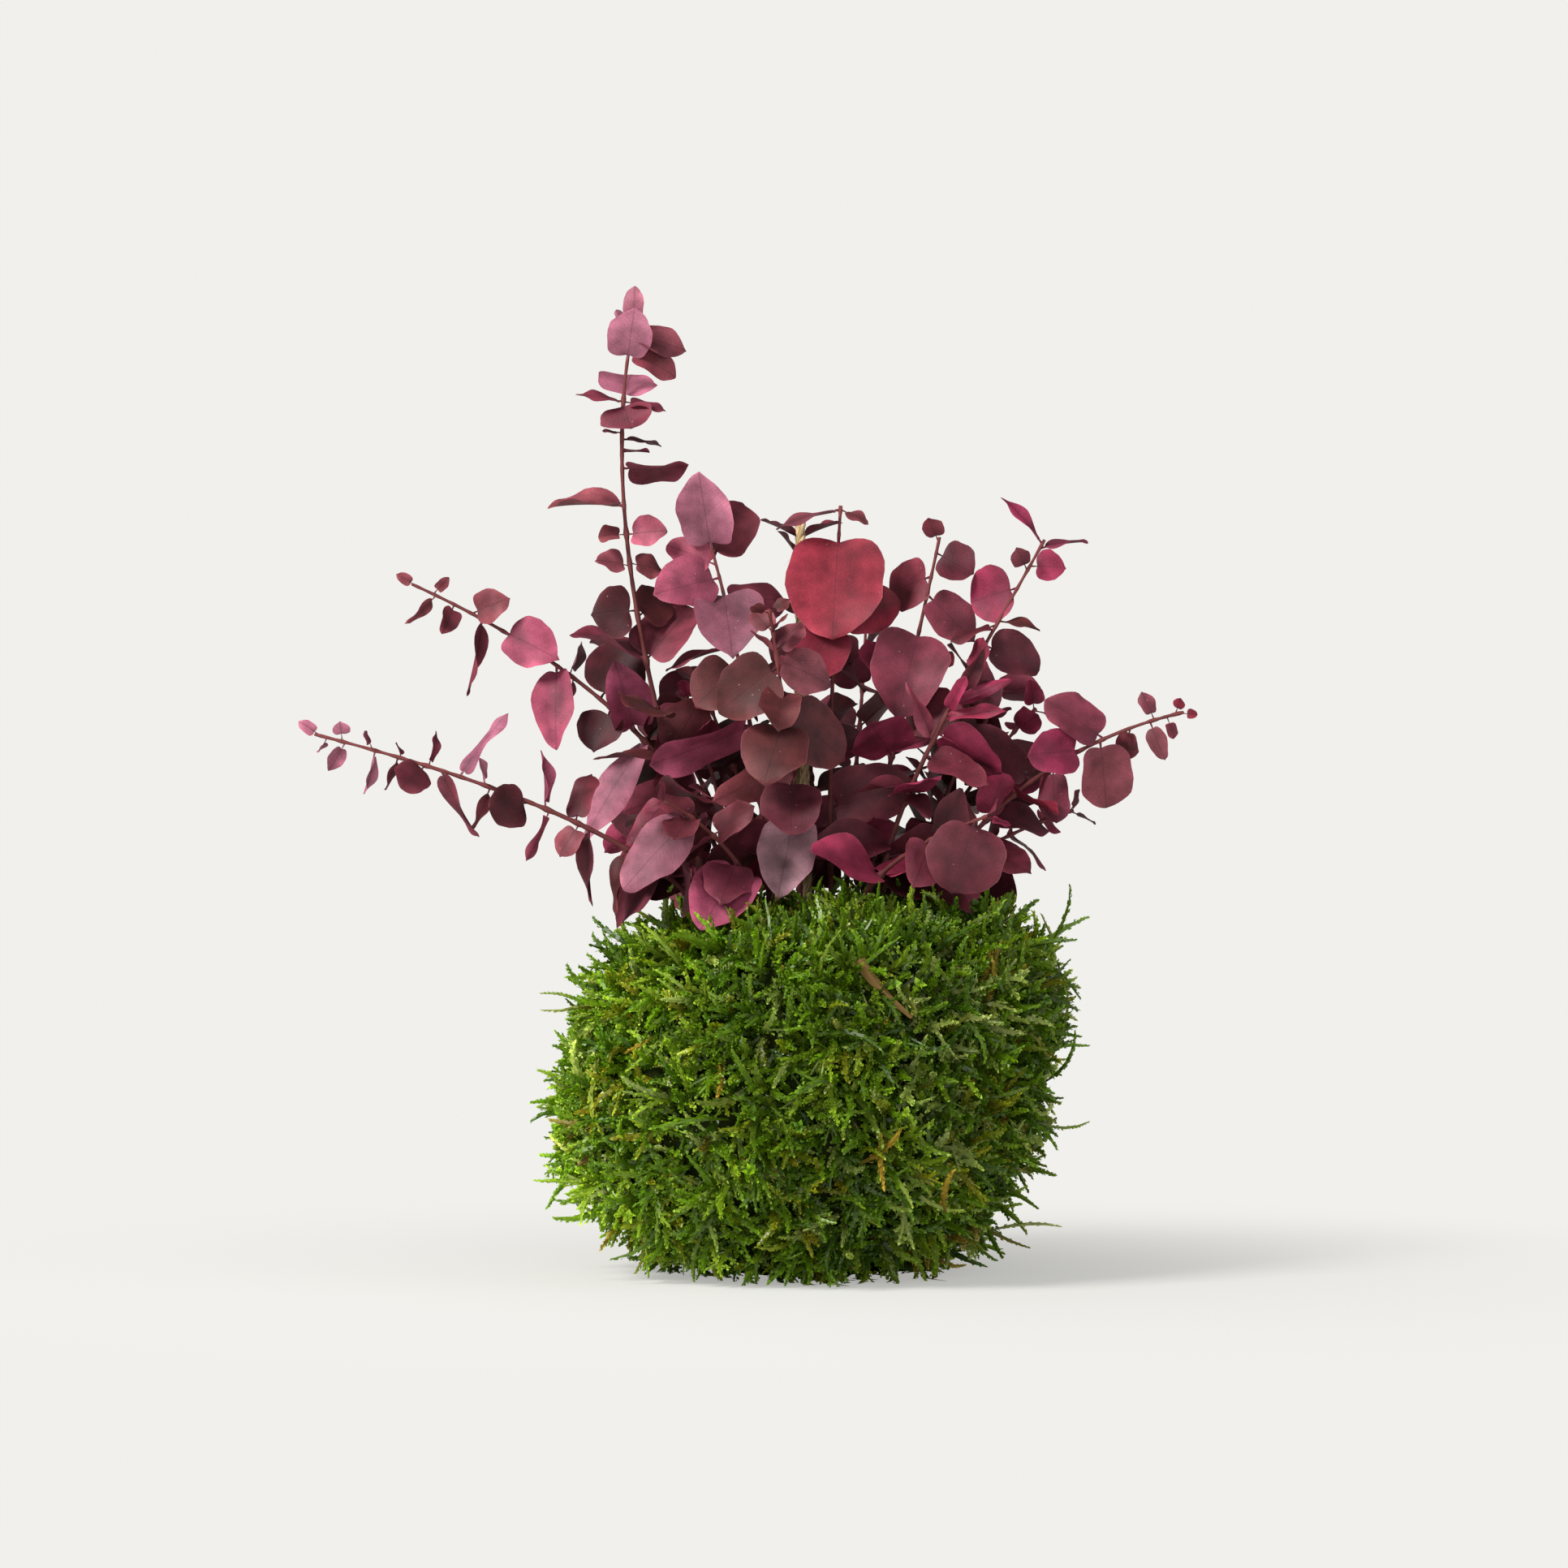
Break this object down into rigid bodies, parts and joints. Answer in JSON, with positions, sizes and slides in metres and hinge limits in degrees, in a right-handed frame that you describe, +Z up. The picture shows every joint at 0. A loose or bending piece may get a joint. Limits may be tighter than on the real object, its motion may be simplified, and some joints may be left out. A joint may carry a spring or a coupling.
{
  "type": "kokedama moss ball plant",
  "caption": "Moss-wrapped soil ball with a bunch of dyed round-leaved eucalyptus stems and a jute hanging twine, resting on its flat foot.",
  "frame": {"origin": "middle of the ball's flat foot, on the surface that it rests on", "axes": "+Z up, +X to the right and +Y to the back as seen in the picture"},
  "size_m": [0.2566, 0.1995, 0.2843],
  "materials": {
    "moss": "live green moss, feathery sprigs",
    "soil": "dark peat soil",
    "twine": "twisted jute with stray fibres",
    "foliage": "matt dyed leaf"
  },
  "bodies": {
    "root": {"moss_cover": "moss", "soil_ball": "soil", "twine_run": "twine", "twine_coil": "twine", "twine_knot": "twine", "stem_tall_left": "foliage", "stem_upper_left": "foliage", "stem_lower_left": "foliage", "stem_centre_left": "foliage", "stem_centre": "foliage", "stem_centre_right": "foliage", "stem_high_right": "foliage", "stem_far_right": "foliage", "stem_front": "foliage", "stem_low_left": "foliage", "stem_low_right": "foliage", "stem_inner_left": "foliage", "stem_inner_right": "foliage", "stem_mid_right": "foliage", "stem_mid_left": "foliage", "stem_cradle": "foliage", "stem_back_left": "foliage", "stem_back": "foliage", "stem_back_right": "foliage", "stem_low_back": "foliage", "stem_low_back_right": "foliage"}
  },
  "joints": []
}
